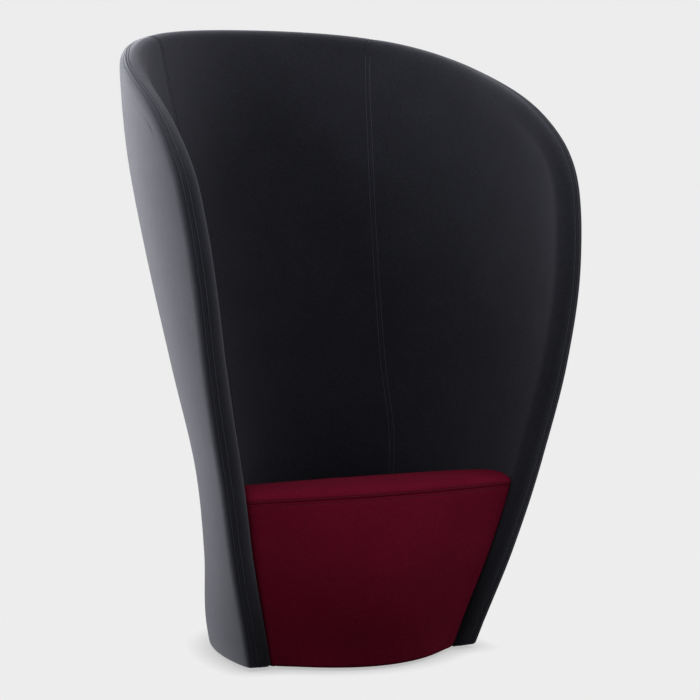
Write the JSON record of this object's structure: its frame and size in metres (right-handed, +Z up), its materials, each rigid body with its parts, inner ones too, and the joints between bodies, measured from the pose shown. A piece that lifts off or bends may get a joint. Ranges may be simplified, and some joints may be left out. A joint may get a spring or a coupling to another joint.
{
  "type": "acoustic high back lounge chair",
  "caption": "High-backed lounge chair whose upholstered tulip shell wraps round the sitter to screen sound, with a contrasting seat block that runs to the floor.",
  "frame": {"origin": "on the floor, under the middle of the chair's overall width and depth", "axes": "+Z up, the sitter faces -Y, and left and right in the node names are -X and +X, as seen by someone facing the chair"},
  "size_m": [1.0282, 0.8542, 1.4614],
  "materials": {
    "charcoal_wool": "fine flat wool cloth, charcoal",
    "burgundy_wool": "fine flat wool cloth, burgundy",
    "foam": "cut and moulded foam",
    "frame_steel": "black powder coat",
    "zinc": "zinc plated",
    "birch_ply": "sanded birch plywood",
    "black_cloth": "black non-woven dust cloth",
    "black_plastic": "black polyamide"
  },
  "bodies": {
    "root": {"outer_cover_right": "charcoal_wool", "outer_cover_left": "charcoal_wool", "outer_cover_back": "charcoal_wool", "inner_cover_right": "charcoal_wool", "inner_cover_left": "charcoal_wool", "inner_cover_back": "charcoal_wool", "outer_foam_right": "foam", "outer_foam_left": "foam", "outer_foam_back": "foam", "inner_foam_right": "foam", "inner_foam_left": "foam", "inner_foam_back": "foam", "edge_foam_right": "foam", "edge_foam_left": "foam", "rim_hoop": "frame_steel", "waist_band": "frame_steel", "shoulder_band": "frame_steel", "side_upright_right": "frame_steel", "side_upright_left": "frame_steel", "back_upright_right": "frame_steel", "back_upright_left": "frame_steel", "rim_foot_plate_right": "frame_steel", "rim_foot_plate_left": "frame_steel", "rim_foot_bolt_right": "zinc", "rim_foot_bolt_left": "zinc", "side_foot_plate_right": "frame_steel", "side_foot_plate_left": "frame_steel", "side_foot_bolt_right": "zinc", "side_foot_bolt_left": "zinc", "back_foot_plate_right": "frame_steel", "back_foot_plate_left": "frame_steel", "back_foot_bolt_right": "zinc", "back_foot_bolt_left": "zinc", "base_board": "birch_ply", "dust_cover": "black_cloth", "glide_1": "black_plastic", "glide_screw_1": "zinc", "glide_2": "black_plastic", "glide_screw_2": "zinc", "glide_3": "black_plastic", "glide_screw_3": "zinc", "glide_4": "black_plastic", "glide_screw_4": "zinc", "glide_5": "black_plastic", "glide_screw_5": "zinc", "front_cover": "burgundy_wool", "front_foam": "foam", "front_board": "birch_ply", "gable_right": "birch_ply", "gable_left": "birch_ply", "rear_rail": "birch_ply", "seat_board": "birch_ply", "seat_foam": "foam", "seat_cover": "burgundy_wool"}
  },
  "joints": []
}
